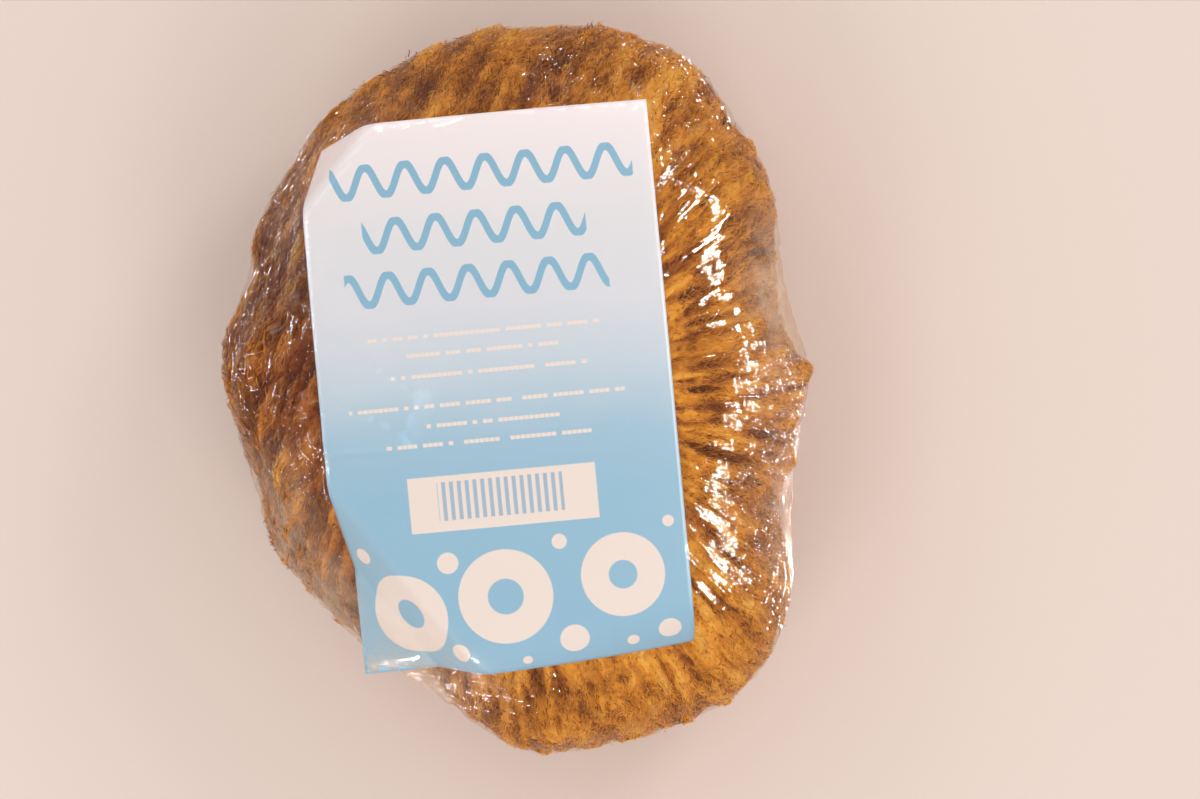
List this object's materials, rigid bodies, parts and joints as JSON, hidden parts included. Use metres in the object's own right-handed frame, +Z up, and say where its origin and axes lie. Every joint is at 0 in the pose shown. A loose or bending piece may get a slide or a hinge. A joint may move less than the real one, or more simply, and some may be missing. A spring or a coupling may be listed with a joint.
{
  "type": "sea sponge in clear film",
  "caption": "Natural sea sponge with ridges and pits, lying on its flat back, wrapped in clear film over a printed paper insert.",
  "frame": {"origin": "centre of the object's box, on the surface that it lies on", "axes": "+X across the paper insert to its right, +Y up the insert, +Z up out of the insert's face"},
  "size_m": [0.1368, 0.1732, 0.0813],
  "materials": {
    "sponge": "matt, fibrous",
    "label": "satin print",
    "film": "clear, glossy"
  },
  "bodies": {
    "root": {"sponge": "sponge", "label": "label", "film": "film"}
  },
  "joints": []
}
